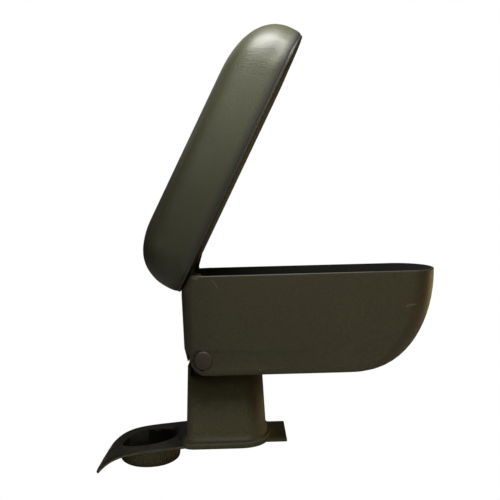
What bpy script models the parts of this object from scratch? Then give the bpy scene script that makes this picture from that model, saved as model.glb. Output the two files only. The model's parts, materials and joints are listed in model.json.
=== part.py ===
"""Centre-console armrest for a car: a padded lid over a bow-fronted storage box on a tilting post.

Units are metres, +Z is up, +X is the front of the car and -Y is the near side.
The origin is the centre of the post's foot, on the plane where the base sits on the console.
The lid is drawn closed, in the part's own frame, and then swung open about its hinge.
"""
import bpy
import bmesh
from math import acos, asin, cos, degrees, pi, radians, sin, sqrt, tan
from mathutils import Matrix, Vector

# General clearances
GAP = 0.0003
FIT = 0.0002

# Storage box
RIM_Z = 0.1837
BOX_DEPTH = 0.1055
BOX_REAR_X = -0.0436
BOX_NOSE_X = 0.2322
BOX_HALF_WIDTH = 0.065
BOX_SIDE_DRAFT = 0.0015
BOX_REAR_DRAFT = 0.0024
BOX_REAR_CORNER = 0.012
BOX_NOSE_LENGTH = 0.0337
BOX_BOW_LENGTH = 0.0711
BOX_EDGE_ROUND = 0.004
BOX_WALL = 0.0028
RIM_ROUND = 0.0007
FLOOR_ROUND = 0.006

# Tilt pivot between box and post
TILT_X = -0.0217
TILT_HEIGHT_IN_BOX = 0.0170
TILT_MAX_DEG = 50.0
CHAMFER_HEIGHT = 0.0290
BOLT_RADIUS = 0.004
BOLT_HOLE_RADIUS = 0.0043
SLEEVE_RADIUS = 0.0058
EAR_RADIUS = 0.0115
EAR_THICKNESS = 0.008
EAR_INNER_Y = 0.024
EAR_FLARE = 0.0015
BUSH_WALL = 0.0015
BUSH_FLANGE_RADIUS = 0.0092
BUSH_FLANGE = 0.0014
CHEEK_THICKNESS = 0.0035
POCKET_RADIUS = 0.0155
REAR_SLOT_RISE = 0.004
BOSS_WALL = 0.0028
CAP_RADIUS = 0.0098
CAP_RECESS_DEPTH = 0.0102
CAP_WALL = 0.0014
CAP_DOME = 0.0016
WASHER_RADIUS = 0.0082
WASHER_THICKNESS = 0.0016
BOLT_HEAD_FLATS = 0.013
BOLT_HEAD_HEIGHT = 0.0050
NUT_HEIGHT = 0.0048

# Lid hinge
HINGE_SETBACK = 0.0118
HINGE_DROP = 0.005
LID_GAP = 0.001
LID_OPEN_DEG = 63.0
PIN_RADIUS = 0.002
HINGE_BUSH_WALL = 0.001
LUG_RADIUS = 0.0053
LUG_WIDTH = 0.012
LUG_INSET = 0.021
LUG_SIDE_PLAY = 0.0005
GUSSET_LENGTH = 0.024
RAIL_LENGTH = 0.039
RAIL_DEPTH = 0.0088
RAIL_HEIGHT = 0.012
PIN_END_INSET = 0.008
NOTCH_DEPTH = 0.0066

# Padded lid
LID_LENGTH = 0.3105
LID_REAR_OVERHANG = 0.0235
LID_SIDE_OVERHANG = 0.002
LID_THICKNESS = 0.0639
LID_SIDE_FLAT = 0.040
LID_SECTION_POWER = 2.6
LID_NOSE_ROUND = 0.0664
LID_NOSE_START = 0.0175
LID_TAIL_ROUND = 0.0441
LID_TAIL_START = 0.0146
LID_TAIL_SHOULDER = 0.0023
LID_PLAN_NOSE = 0.046
LID_PLAN_CORNER = 0.024
LID_UNDER_ROUND = 0.0081
LID_NOSE_TUCK = 1.3
LID_TAIL_TUCK = 0.75
LID_SIDE_TUCK = 0.35
TRAY_THICKNESS = 0.003
TRAY_INSET = 0.0012
TRAY_EDGE = 0.0007
COVER_THICKNESS = 0.0012
COVER_HEM = 0.014
BOARD_THICKNESS = 0.005
BOARD_INSET = 0.005
FIELD_HEIGHT = 0.0008
FIELD_CLEARANCE = 0.002
SCREW_HEAD_RADIUS = 0.0034
SCREW_HEAD_HEIGHT = 0.0016
SCREW_SHANK_RADIUS = 0.0016
SCREW_LENGTH = 0.0088
SCREW_COLUMNS = (0.045, 0.130, 0.215)
SCREW_INSET = 0.031
BUFFER_RADIUS = 0.0024
BUFFER_STEM_RADIUS = 0.0014
BUFFER_INSET = 0.0020
BUFFER_COLUMNS = (0.075, 0.185)

# Post, skirt and base plate
POST_HALF_LENGTH = 0.0436
POST_HALF_WIDTH = 0.0500
POST_DRAFT = 0.0037
POST_REAR_CORNER = 0.010
POST_NOSE_LENGTH = 0.028
POST_WALL = 0.003
SKIRT_OFFSET = 0.0080
SKIRT_HEIGHT = 0.0062
CRADLE_DEPTH = 0.0060
UPSTAND_THICKNESS = 0.0030
PLATE_THICKNESS = 0.0026
PLATE_HALF_WIDTH = 0.053
PLATE_EDGE_ROUND = 0.0009
TAIL_BEYOND_CUP = 0.0205
TAIL_SLOPE = 0.085
TAIL_CURL = 0.0232
TAIL_BOW = 0.005
TONGUE_THICKNESS = 0.0031
TONGUE_REACH = 0.065
TONGUE_HALF_WIDTH = 0.037

# Cup recess
CUP_BEHIND_POST = 0.0439
CUP_RADIUS = 0.031
CUP_WALL = 0.0018
CUP_DEPTH = 0.0279
CUP_BOTTOM_ROUND = 0.009
CUP_RIBS = 44
CUP_RIB_HEIGHT = 0.0007

# Levels and places that follow from the dimensions above
BOX_BOTTOM_Z = RIM_Z - BOX_DEPTH
TILT_Z = BOX_BOTTOM_Z + TILT_HEIGHT_IN_BOX
TILT_DROP_SHARE = (RIM_Z - TILT_Z) / BOX_DEPTH
BARREL_RADIUS = TILT_HEIGHT_IN_BOX
HINGE_X = BOX_REAR_X + HINGE_SETBACK
HINGE_Z = RIM_Z - HINGE_DROP
LUG_MIDDLE_Y = BOX_HALF_WIDTH - LUG_INSET
RAIL_INNER_Y = BOX_HALF_WIDTH - RAIL_LENGTH
PIN_END_Y = BOX_HALF_WIDTH - PIN_END_INSET
LID_PLANE = HINGE_DROP + LID_GAP
LID_UNDER_Z = RIM_Z + LID_GAP
LID_START_X = HINGE_X + LID_PLANE * tan(radians(LID_OPEN_DEG) / 2)
LID_REAR_X = LID_START_X - LID_REAR_OVERHANG
LID_NOSE_X = LID_REAR_X + LID_LENGTH
LID_HALF_WIDTH = BOX_HALF_WIDTH + LID_SIDE_OVERHANG
SCREW_Y = LID_HALF_WIDTH - SCREW_INSET
BUFFER_SOCKET_DEPTH = TRAY_THICKNESS * 0.7
COVER_Z = LID_UNDER_Z + TRAY_THICKNESS + GAP
BOARD_Z = COVER_Z + COVER_THICKNESS + GAP
FOAM_Z = BOARD_Z + BOARD_THICKNESS + GAP
FIELD_Z = LID_UNDER_Z - FIELD_HEIGHT
CHEEK_INNER_Y = EAR_INNER_Y + EAR_THICKNESS + BUSH_FLANGE + 2 * GAP
EAR_OUTER_Y = EAR_INNER_Y + EAR_THICKNESS
EAR_BORE = SLEEVE_RADIUS + GAP + BUSH_WALL
CELL_OUTER_Y = BOX_HALF_WIDTH - BOX_SIDE_DRAFT - BOX_WALL - 0.0008
RECESS_FLOOR_Y = BOX_HALF_WIDTH - BOX_SIDE_DRAFT - CAP_RECESS_DEPTH
CUP_X = -POST_HALF_LENGTH - CUP_BEHIND_POST
TAIL_REACH = CUP_RADIUS + TAIL_BEYOND_CUP - CUP_X
PAST_SIDES = BOX_HALF_WIDTH + 0.015
NEAR_AND_FAR = (("near", -1), ("far", 1))


def clear_scene():
    for thing in list(bpy.data.objects):
        bpy.data.objects.remove(thing, do_unlink=True)


def make_material(name, colour, roughness, metallic=0.0):
    material = bpy.data.materials.new(name)
    material.use_nodes = True
    shader = material.node_tree.nodes["Principled BSDF"]
    shader.inputs["Base Color"].default_value = (*colour, 1.0)
    shader.inputs["Roughness"].default_value = roughness
    shader.inputs["Metallic"].default_value = metallic
    return material


def new_piece(name, bm, look=None):
    """Makes a named object from a bmesh, with its own copy of a look (colour, roughness, metallic)."""
    bmesh.ops.recalc_face_normals(bm, faces=bm.faces)
    mesh = bpy.data.meshes.new(name)
    bm.to_mesh(mesh)
    bm.free()
    piece = bpy.data.objects.new(name, mesh)
    bpy.context.scene.collection.objects.link(piece)
    if look:
        mesh.materials.append(make_material(name, *look))
    return piece


def combine(target, tool, operation="DIFFERENCE"):
    """Cuts the tool from the target, or joins it to it, and removes the tool."""
    modifier = target.modifiers.new(operation, "BOOLEAN")
    modifier.operation = operation
    modifier.object = tool
    modifier.solver = "EXACT"
    bpy.context.view_layer.update()
    graph = bpy.context.evaluated_depsgraph_get()
    result = bpy.data.meshes.new_from_object(target.evaluated_get(graph))
    target.modifiers.clear()
    target.data = result
    bpy.data.objects.remove(tool, do_unlink=True)
    return target


def smooth(piece, angle_deg=35.0):
    piece.data.shade_smooth()
    piece.data.set_sharp_from_angle(angle=radians(angle_deg))
    return piece


# Shape builders

def loft(rings):
    """Joins closed rings of equally many points, with a face over each end."""
    bm = bmesh.new()
    rows = [[bm.verts.new(point) for point in ring] for ring in rings]
    count = len(rows[0])
    for lower, upper in zip(rows, rows[1:]):
        for i in range(count):
            j = (i + 1) % count
            bm.faces.new((lower[i], lower[j], upper[j], upper[i]))
    bm.faces.new(rows[0])
    bm.faces.new(rows[-1])
    return bm


def box_solid(low, high):
    bm = bmesh.new()
    middle = [(a + b) / 2 for a, b in zip(low, high)]
    size = [b - a for a, b in zip(low, high)]
    place = Matrix.Translation(middle) @ Matrix.Diagonal((*size, 1.0))
    bmesh.ops.create_cube(bm, size=1.0, matrix=place)
    return bm


def extrude_along_y(profile, y_low, y_high):
    """Extrudes a profile of (x, z) points between two side planes."""
    rings = [[(x, y, z) for x, z in profile] for y in (y_low, y_high)]
    return loft(rings)


def rod_along_y(radius, y_low, y_high, x, z, sides=24):
    angles = [2 * pi * i / sides for i in range(sides)]
    profile = [(x + radius * cos(angle), z + radius * sin(angle)) for angle in angles]
    return extrude_along_y(profile, y_low, y_high)


def pivot_rod(radius, y_low, y_high, sides=24):
    return rod_along_y(radius, y_low, y_high, TILT_X, TILT_Z, sides)


def hinge_rod(radius, y_low, y_high):
    return rod_along_y(radius, y_low, y_high, HINGE_X, HINGE_Z, 20)


def turned_along_y(profile, x, z, sides=32, side=1):
    """Turns a closed profile of (radius, y) points about the Y axis through (x, z)."""
    rings = []
    for radius, y in profile:
        ring = []
        for i in range(sides):
            angle = 2 * pi * i / sides
            ring.append((x + radius * cos(angle), side * y, z + radius * sin(angle)))
        rings.append(ring)
    return ring_body(rings)


def turned_along_z(profile, x, y, sides=24):
    """Turns a closed profile of (radius, z) points about the vertical through (x, y)."""
    rings = []
    for radius, z in profile:
        angles = [2 * pi * i / sides for i in range(sides)]
        rings.append([(x + radius * cos(angle), y + radius * sin(angle), z) for angle in angles])
    return ring_body(rings)


def ring_body(rings):
    """Joins rings into a body, closed at a pole where a ring has no radius, or from the last to the first."""
    bm = bmesh.new()
    rows = []
    for ring in rings:
        size = max((Vector(point) - Vector(ring[0])).length for point in ring)
        if size < 1e-7:
            rows.append([bm.verts.new(ring[0])])
        else:
            rows.append([bm.verts.new(point) for point in ring])
    pairs = list(zip(rows, rows[1:]))
    if len(rows[0]) > 1 and len(rows[-1]) > 1:
        pairs.append((rows[-1], rows[0]))
    for lower, upper in pairs:
        count = max(len(lower), len(upper))
        for i in range(count):
            j = (i + 1) % count
            if len(lower) == 1:
                bm.faces.new((lower[0], upper[j], upper[i]))
            elif len(upper) == 1:
                bm.faces.new((lower[i], lower[j], upper[0]))
            else:
                bm.faces.new((lower[i], lower[j], upper[j], upper[i]))
    return bm


def plan_outline(x_rear, x_nose, half_width, corner, nose_length, z, power=2.0, nose_steps=20,
                 corner_steps=5):
    """A level outline with a round nose at +X, straight sides and two rounded rear corners."""
    points = []
    middle = x_nose - nose_length
    for i in range(2 * nose_steps + 1):
        angle = pi / 2 * (i / nose_steps - 1)
        across = abs(sin(angle)) ** (2 / power) * (1 if angle > 0 else -1)
        points.append((middle + nose_length * cos(angle) ** (2 / power), half_width * across, z))
    for side in (1, -1):
        for i in range(corner_steps + 1):
            angle = pi / 2 * (1 + i / corner_steps) if side > 0 else pi + pi / 2 * i / corner_steps
            centre_y = side * (half_width - corner)
            points.append((x_rear + corner + corner * cos(angle), centre_y + corner * sin(angle), z))
    return points


# Storage box

def box_rear_x(z):
    """The rear wall's outer face at height z: draft, round barrel about the pivot, and hinge bevel."""
    drop = RIM_Z - z
    wall = BOX_REAR_X + BOX_REAR_DRAFT * drop / BOX_DEPTH
    chamfer_z = BOX_BOTTOM_Z + CHAMFER_HEIGHT
    if z < chamfer_z:
        # The chamfer leaves the wall and runs tangent to the barrel, which is concentric with the tilt pivot
        wall_x = BOX_REAR_X + BOX_REAR_DRAFT * (RIM_Z - chamfer_z) / BOX_DEPTH
        dx, dz = wall_x - TILT_X, chamfer_z - TILT_Z
        reach = sqrt(dx * dx + dz * dz)
        tangent = acos(-dx / reach) + acos(BARREL_RADIUS / reach)
        touch_angle = tangent - 2 * asin(dz / reach)
        touch_x = TILT_X - BARREL_RADIUS * cos(touch_angle)
        touch_z = TILT_Z - BARREL_RADIUS * sin(touch_angle)
        if z > touch_z:
            return wall_x + (touch_x - wall_x) * (chamfer_z - z) / (chamfer_z - touch_z)
        return TILT_X - sqrt(max(BARREL_RADIUS ** 2 - (z - TILT_Z) ** 2, 0.0))
    # The open lid's underside leans on a bevel that keeps a gap to it and ends in a bead round the hinge
    bead = LID_PLANE - GAP
    lean = radians(LID_OPEN_DEG)
    rise = z - HINGE_Z
    bead_end = bead * cos(lean)
    if rise > bead_end:
        bevel = HINGE_X - sqrt(bead ** 2 - rise ** 2)
    else:
        bevel = HINGE_X - bead * sin(lean) - (bead_end - rise) / tan(lean)
    return max(wall, bevel)


def box_nose_x(z):
    """The bow falls from the rim to the floor along a quarter of an ellipse."""
    drop = min((RIM_Z - z) / BOX_DEPTH, 1.0)
    return BOX_NOSE_X - BOX_BOW_LENGTH * (1 - sqrt(1 - drop * drop))


def box_half_width(z):
    width = BOX_HALF_WIDTH - BOX_SIDE_DRAFT * (RIM_Z - z) / BOX_DEPTH
    above = z - BOX_BOTTOM_Z
    if above < BOX_EDGE_ROUND:
        width -= BOX_EDGE_ROUND - sqrt(BOX_EDGE_ROUND ** 2 - (BOX_EDGE_ROUND - above) ** 2)
    return width


def box_levels(lowest, highest):
    """Heights from the floor to the rim, closer together where the bow, the barrel and the bevel curve."""
    touch_levels = [BOX_BOTTOM_Z + BOX_DEPTH * (1 - cos(pi / 2 * i / 16)) for i in range(17)]
    bevel_levels = [RIM_Z - HINGE_DROP + r for r in (-0.0093, -0.001, 0.0026, 0.0037, 0.0045)]
    fixed = [BOX_BOTTOM_Z + CHAMFER_HEIGHT, BOX_BOTTOM_Z + BOX_EDGE_ROUND / 2]
    levels = sorted(z for z in touch_levels + bevel_levels + fixed if lowest + 0.0004 < z < highest - 0.0004)
    return [lowest] + levels + [highest]


def build_box_outside():
    rings = []
    for z in box_levels(BOX_BOTTOM_Z, RIM_Z - RIM_ROUND):
        corner = min(BOX_REAR_CORNER, (TILT_X - box_rear_x(z)) * 0.9 + 0.003)
        half = box_half_width(z)
        rings.append(plan_outline(box_rear_x(z), box_nose_x(z), half, corner, BOX_NOSE_LENGTH, z))
    rim_rear_x = box_rear_x(RIM_Z) + RIM_ROUND / 2
    rings.append(plan_outline(rim_rear_x, BOX_NOSE_X - RIM_ROUND, BOX_HALF_WIDTH - RIM_ROUND,
                              BOX_REAR_CORNER - RIM_ROUND, BOX_NOSE_LENGTH, RIM_Z))
    return new_piece("storage_box", loft(rings), ((0.028, 0.026, 0.020), 0.55))


def bin_rear_x(z):
    """The bin's rear face: it follows the wall, and steps forward round the hinge rail at the top."""
    wall = BOX_REAR_X + BOX_REAR_DRAFT * (RIM_Z - z) / BOX_DEPTH + BOX_WALL
    rail_x = HINGE_X + RAIL_DEPTH
    rail_low = HINGE_Z - RAIL_HEIGHT
    slope_end = rail_low - (rail_x - wall) * 0.6
    if z > rail_low:
        return rail_x
    if z < slope_end:
        return wall
    return wall + (rail_x - wall) * (z - slope_end) / (rail_low - slope_end)


def build_bin_space():
    """The space inside the bin, with a raised step left over the pivot pocket at its rear."""
    floor_z = BOX_BOTTOM_Z + BOX_WALL
    rail_low = HINGE_Z - RAIL_HEIGHT
    slope_end = rail_low - (HINGE_X + RAIL_DEPTH - BOX_REAR_X - BOX_WALL) * 0.6
    levels = [floor_z + (RIM_Z - floor_z) * (1 - cos(pi / 2 * i / 13)) for i in range(14)]
    levels = [z for z in levels if abs(z - rail_low) > 0.003 and abs(z - slope_end) > 0.003]
    levels = levels[:-1] + [rail_low, slope_end, floor_z + FLOOR_ROUND / 3, RIM_Z - 0.0006, RIM_Z + 0.003]
    levels = sorted(levels)
    rings = []
    for z in levels:
        inside_z = min(z, RIM_Z)
        above = max(inside_z - floor_z, 0.0)
        tuck = 0.0
        if above < FLOOR_ROUND:
            tuck = FLOOR_ROUND - sqrt(FLOOR_ROUND ** 2 - (FLOOR_ROUND - above) ** 2)
        # A small lead-in rounds the rim's inner edge
        lead = RIM_ROUND if z > RIM_Z - 0.0003 else 0.0
        # The bow's wall leans, so it takes more of the length towards the floor
        drop_share = (RIM_Z - inside_z) / BOX_DEPTH
        nose = box_nose_x(inside_z) - BOX_WALL * (1.0 + 0.8 * drop_share) - tuck * 0.5 + lead
        half = BOX_HALF_WIDTH - BOX_SIDE_DRAFT * drop_share - BOX_WALL - tuck + lead
        corner = BOX_REAR_CORNER - BOX_WALL
        nose_length = BOX_NOSE_LENGTH - BOX_WALL
        rings.append(plan_outline(bin_rear_x(inside_z) + tuck, nose, half, corner, nose_length, z))
    space = new_piece("bin_space", loft(rings))
    step_profile = pocket_profile(POCKET_RADIUS + BOX_WALL, BOX_REAR_X - 0.01, BOX_BOTTOM_Z - 0.01)
    return combine(space, new_piece("step", extrude_along_y(step_profile, -PAST_SIDES, PAST_SIDES)))


def pocket_profile(radius, x_rear, z_low, steps=8):
    """The pocket's side profile: flat top, quarter round in front, both about the tilt pivot."""
    points = [(x_rear, z_low), (TILT_X + radius, z_low)]
    for i in range(steps + 1):
        angle = pi / 2 * i / steps
        points.append((TILT_X + radius * cos(angle), TILT_Z + radius * sin(angle)))
    points.append((x_rear, TILT_Z + radius))
    return points


def cut_pivot_pocket(box):
    """Opens three cells in the underside, between two cheeks, and a slot in the rear wall for the ears."""
    below = BOX_BOTTOM_Z - 0.005
    rear_inside = BOX_REAR_X + BOX_REAR_DRAFT + BOX_WALL
    outer_profile = pocket_profile(POCKET_RADIUS, rear_inside, below)
    cell_low = CHEEK_INNER_Y + CHEEK_THICKNESS
    combine(box, new_piece("cell", extrude_along_y(outer_profile, -CHEEK_INNER_Y, CHEEK_INNER_Y)))
    for side in (-1, 1):
        combine(box, new_piece("cell", extrude_along_y(outer_profile, side * cell_low, side * CELL_OUTER_Y)))
    slot_top = TILT_Z + REAR_SLOT_RISE
    slot = box_solid((BOX_REAR_X - 0.005, -CHEEK_INNER_Y, below), (TILT_X, CHEEK_INNER_Y, slot_top))
    combine(box, new_piece("slot", slot))
    recess_radius = CAP_RADIUS + FIT
    boss_inner_y, boss_outer_y = CHEEK_INNER_Y + 0.001, CELL_OUTER_Y + 0.001
    for side in (-1, 1):
        boss = pivot_rod(recess_radius + BOSS_WALL, side * boss_inner_y, side * boss_outer_y, 32)
        combine(box, new_piece("boss", boss), "UNION")
        recess = pivot_rod(recess_radius, side * RECESS_FLOOR_Y, side * PAST_SIDES, 32)
        combine(box, new_piece("recess", recess))
    return combine(box, new_piece("bore", pivot_rod(BOLT_HOLE_RADIUS, -PAST_SIDES, PAST_SIDES)))


def cut_hinge_rail(box):
    """Notches for the lid's lugs, the open middle and the blind pin bores."""
    half_slot = LUG_WIDTH / 2 + LUG_SIDE_PLAY
    middle = box_solid((HINGE_X - PIN_RADIUS - 0.0016, -RAIL_INNER_Y, HINGE_Z - RAIL_HEIGHT - 0.012),
                       (HINGE_X + RAIL_DEPTH + 0.004, RAIL_INNER_Y, RIM_Z + 0.002))
    combine(box, new_piece("middle", middle))
    for side in (-1, 1):
        low = (HINGE_X - HINGE_SETBACK - 0.003, side * LUG_MIDDLE_Y - half_slot, HINGE_Z - NOTCH_DEPTH)
        high = (HINGE_X + RAIL_DEPTH + 0.001, side * LUG_MIDDLE_Y + half_slot, RIM_Z + 0.002)
        combine(box, new_piece("notch", box_solid(low, high)))
        bore = hinge_rod(PIN_RADIUS + FIT, side * (RAIL_INNER_Y - 0.002), side * (PIN_END_Y + 0.0005))
        combine(box, new_piece("pin_bore", bore))
    return box


def build_storage_box():
    box = combine(build_box_outside(), build_bin_space())
    cut_pivot_pocket(box)
    cut_hinge_rail(box)
    return [smooth(box)]


# Pivot hardware, which belongs to the box

def hexagon(flats, y_low, y_high):
    radius = flats / 2 / cos(pi / 6)
    return pivot_rod(radius, y_low, y_high, 6)


def build_pivot_hardware():
    steel = ((0.35, 0.35, 0.34), 0.35, 1.0)
    seat = RECESS_FLOOR_Y + GAP
    head_y = seat + WASHER_THICKNESS + GAP
    pieces = []
    shank = pivot_rod(BOLT_RADIUS, -head_y - 0.0005, head_y + NUT_HEIGHT + 0.0004)
    bolt = new_piece("pivot_bolt", shank, steel)
    head = hexagon(BOLT_HEAD_FLATS, -head_y - BOLT_HEAD_HEIGHT, -head_y)
    combine(bolt, new_piece("head", head), "UNION")
    nut = new_piece("pivot_nut", hexagon(BOLT_HEAD_FLATS, head_y, head_y + NUT_HEIGHT), steel)
    combine(nut, new_piece("thread", pivot_rod(BOLT_RADIUS + FIT, 0.0, PAST_SIDES)))
    pieces += [bolt, nut]
    for side_name, side in NEAR_AND_FAR:
        ring = [(BOLT_HOLE_RADIUS, seat), (WASHER_RADIUS, seat), (WASHER_RADIUS, seat + WASHER_THICKNESS),
                (BOLT_HOLE_RADIUS, seat + WASHER_THICKNESS)]
        washer = turned_along_y(ring, TILT_X, TILT_Z, 28, side)
        pieces.append(new_piece(f"pivot_washer_{side_name}", washer, steel))
        pieces.append(build_pivot_cap(side_name, side))
    return [smooth(piece) for piece in pieces]


def build_pivot_cap(side_name, side):
    """A round plug with a low dome outside and a skirt that stands on the recess floor."""
    face = BOX_HALF_WIDTH - BOX_SIDE_DRAFT * TILT_DROP_SHARE
    seat = RECESS_FLOOR_Y + GAP
    inner = CAP_RADIUS - CAP_WALL
    outline = [(0.0, face - CAP_WALL), (inner, face - CAP_WALL - 0.0002), (inner, seat), (CAP_RADIUS, seat),
               (CAP_RADIUS, face - 0.0002)]
    for i in range(1, 5):
        angle = pi / 2 * i / 5
        outline.append((CAP_RADIUS * cos(angle), face + CAP_DOME * sin(angle)))
    outline.append((0.0, face + CAP_DOME))
    cap = turned_along_y(outline, TILT_X, TILT_Z, 28, side)
    return new_piece(f"pivot_cap_{side_name}", cap, ((0.03, 0.028, 0.022), 0.5))


# Hinge pins and bushes

def build_hinge_pins():
    pieces = []
    for side_name, side in NEAR_AND_FAR:
        pin = hinge_rod(PIN_RADIUS, side * (RAIL_INNER_Y + 0.0005), side * PIN_END_Y)
        pieces.append(new_piece(f"hinge_pin_{side_name}", pin, ((0.45, 0.45, 0.44), 0.3, 1.0)))
    return [smooth(piece) for piece in pieces]


def build_hinge_bushes():
    pieces = []
    inner = PIN_RADIUS + FIT
    outer = inner + HINGE_BUSH_WALL
    half = LUG_WIDTH / 2
    for side_name, side in NEAR_AND_FAR:
        ring = [(inner, LUG_MIDDLE_Y - half), (outer, LUG_MIDDLE_Y - half), (outer, LUG_MIDDLE_Y + half),
                (inner, LUG_MIDDLE_Y + half)]
        bush = turned_along_y(ring, HINGE_X, HINGE_Z, 20, side)
        pieces.append(new_piece(f"hinge_bush_{side_name}", bush, ((0.75, 0.73, 0.66), 0.5)))
    return [smooth(piece) for piece in pieces]


# Padded lid, drawn closed

def under_tuck(height):
    """How far the pad's lower edge rolls in at a height above the lid's underside."""
    below = max(LID_UNDER_ROUND - height, 0.0)
    return LID_UNDER_ROUND - sqrt(LID_UNDER_ROUND ** 2 - below ** 2)


def lid_rear_x(height):
    """The lid's rear end at a height above its underside."""
    if height < LID_TAIL_START:
        return LID_REAR_X + LID_TAIL_TUCK * under_tuck(height)
    share = min((height - LID_TAIL_START) / (LID_THICKNESS - LID_TAIL_SHOULDER - LID_TAIL_START), 1.0)
    return LID_REAR_X + LID_TAIL_ROUND * (1 - sqrt(1 - share * share))


def lid_nose_x(height):
    if height < LID_NOSE_START:
        return LID_NOSE_X - LID_NOSE_TUCK * under_tuck(height)
    share = min((height - LID_NOSE_START) / (LID_THICKNESS - LID_NOSE_START), 1.0)
    return LID_NOSE_X - LID_NOSE_ROUND * (1 - sqrt(1 - share * share))


def lid_half_width(height):
    """Straight sides with a small rolled lower edge, then one curve over the shoulder to the crown."""
    if height < LID_SIDE_FLAT:
        return LID_HALF_WIDTH - LID_SIDE_TUCK * under_tuck(height)
    share = min((height - LID_SIDE_FLAT) / (LID_THICKNESS - LID_SIDE_FLAT), 1.0)
    return LID_HALF_WIDTH * (1 - share ** LID_SECTION_POWER) ** (1 / LID_SECTION_POWER)


def lid_outline(height, inset, z, nose_steps=16, corner_steps=5):
    """The lid's plan at a height above the underside, drawn in by an inset."""
    half = lid_half_width(height) - inset
    shrink = half / LID_HALF_WIDTH
    corner = max(LID_PLAN_CORNER - inset, 0.001) * min(shrink, 1.0)
    nose = (LID_PLAN_NOSE - inset) * shrink ** 0.5
    return plan_outline(lid_rear_x(height) + inset, lid_nose_x(height) - inset, half, corner, nose, z, 2.2,
                        nose_steps, corner_steps)


def lid_heights(low, crown_share=0.985, shoulder_steps=9):
    """Heights up the pad: few on the straight side, more over the shoulder and the ends."""
    top = LID_THICKNESS
    lower = [low, low + 0.0015, low + 0.004, LID_NOSE_START, LID_TAIL_START, 0.024, 0.032, LID_SIDE_FLAT]
    upper = []
    for i in range(1, shoulder_steps + 1):
        share = sin(pi / 2 * i / shoulder_steps) ** 0.9
        upper.append(LID_SIDE_FLAT + (top - LID_SIDE_FLAT) * share * crown_share)
    return sorted(lower) + upper


def pad_solid(name, low, inset, bottom_z, look=None):
    rings = []
    for height in lid_heights(low):
        z = max(LID_UNDER_Z + height - inset, bottom_z) if height > LID_SIDE_FLAT else LID_UNDER_Z + height
        rings.append(lid_outline(height, inset, z))
    rings[0] = lid_outline(low, inset, bottom_z)
    return new_piece(name, loft(rings), look)


def build_cover():
    """The skin: a thin shell over the pad whose edge turns in under the board."""
    low = TRAY_THICKNESS + GAP
    cover = pad_solid("pad_cover", low, 0.0, COVER_Z, ((0.035, 0.036, 0.028), 0.42))
    space = pad_solid("space", low + COVER_THICKNESS, COVER_THICKNESS, COVER_Z + COVER_THICKNESS)
    combine(cover, space)
    low_z, high_z = COVER_Z - 0.002, COVER_Z + COVER_THICKNESS + 0.001
    opening = loft([lid_outline(LID_UNDER_ROUND, COVER_HEM, z) for z in (low_z, high_z)])
    return smooth(combine(cover, new_piece("opening", opening)), 50.0)


def build_foam():
    low = FOAM_Z - LID_UNDER_Z
    foam = pad_solid("pad_foam", low, COVER_THICKNESS + GAP, FOAM_Z, ((0.55, 0.52, 0.42), 0.9))
    return smooth(foam, 50.0)


def build_board():
    """The stiff board inside the skin, with pilot holes for the tray's screws."""
    levels = (BOARD_Z, BOARD_Z + BOARD_THICKNESS)
    rings = [lid_outline(z - LID_UNDER_Z, BOARD_INSET, z, 10, 4) for z in levels]
    board = new_piece("lid_board", loft(rings), ((0.22, 0.16, 0.10), 0.8))
    for x, y in screw_places():
        radius = SCREW_SHANK_RADIUS + FIT
        low, high = BOARD_Z - 0.001, BOARD_Z + BOARD_THICKNESS + 0.001
        hole = turned_along_z([(0.0, low), (radius, low), (radius, high), (0.0, high)], x, y, 12)
        combine(board, new_piece("hole", hole))
    return smooth(board)


def screw_places():
    return [(HINGE_X + x, side * SCREW_Y) for x in SCREW_COLUMNS for side in (-1, 1)]


def buffer_places():
    y = BOX_HALF_WIDTH - BUFFER_INSET
    return [(HINGE_X + x, side * y) for x in BUFFER_COLUMNS for side in (-1, 1)]


def build_tray():
    """The underside panel: a raised field, lugs with gussets, counterbores and buffer sockets."""
    levels = ((TRAY_INSET + TRAY_EDGE, LID_UNDER_Z), (TRAY_INSET, LID_UNDER_Z + TRAY_EDGE),
              (TRAY_INSET, LID_UNDER_Z + TRAY_THICKNESS))
    rings = [lid_outline(LID_UNDER_ROUND / 2, inset, z) for inset, z in levels]
    tray = new_piece("lid_tray", loft(rings), ((0.022, 0.021, 0.018), 0.6))
    add_raised_field(tray)
    for side in (-1, 1):
        add_lug(tray, side)
    for x, y in screw_places():
        sink_screw(tray, x, y)
    for x, y in buffer_places():
        stem = BUFFER_STEM_RADIUS + FIT
        low, high = LID_UNDER_Z - 0.001, LID_UNDER_Z + BUFFER_SOCKET_DEPTH
        socket = [(0.0, low), (stem, low), (stem, high), (0.0, high)]
        combine(tray, new_piece("socket", turned_along_z(socket, x, y, 16)))
    return smooth(tray)


def add_raised_field(tray):
    """A shallow raised field that lies inside the box's rim when the lid is shut."""
    inset = BOX_WALL + FIELD_CLEARANCE
    x_rear = HINGE_X + RAIL_DEPTH + FIELD_CLEARANCE
    rings = []
    for z, tuck in ((LID_UNDER_Z - FIELD_HEIGHT, FIELD_HEIGHT), (LID_UNDER_Z + TRAY_THICKNESS / 2, 0.0)):
        edge = inset + tuck
        rings.append(plan_outline(x_rear + tuck, BOX_NOSE_X - edge, BOX_HALF_WIDTH - edge, 0.006,
                                  BOX_NOSE_LENGTH - edge, z, 2.0, 14, 3))
    return combine(tray, new_piece("field", loft(rings)), "UNION")


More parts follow.
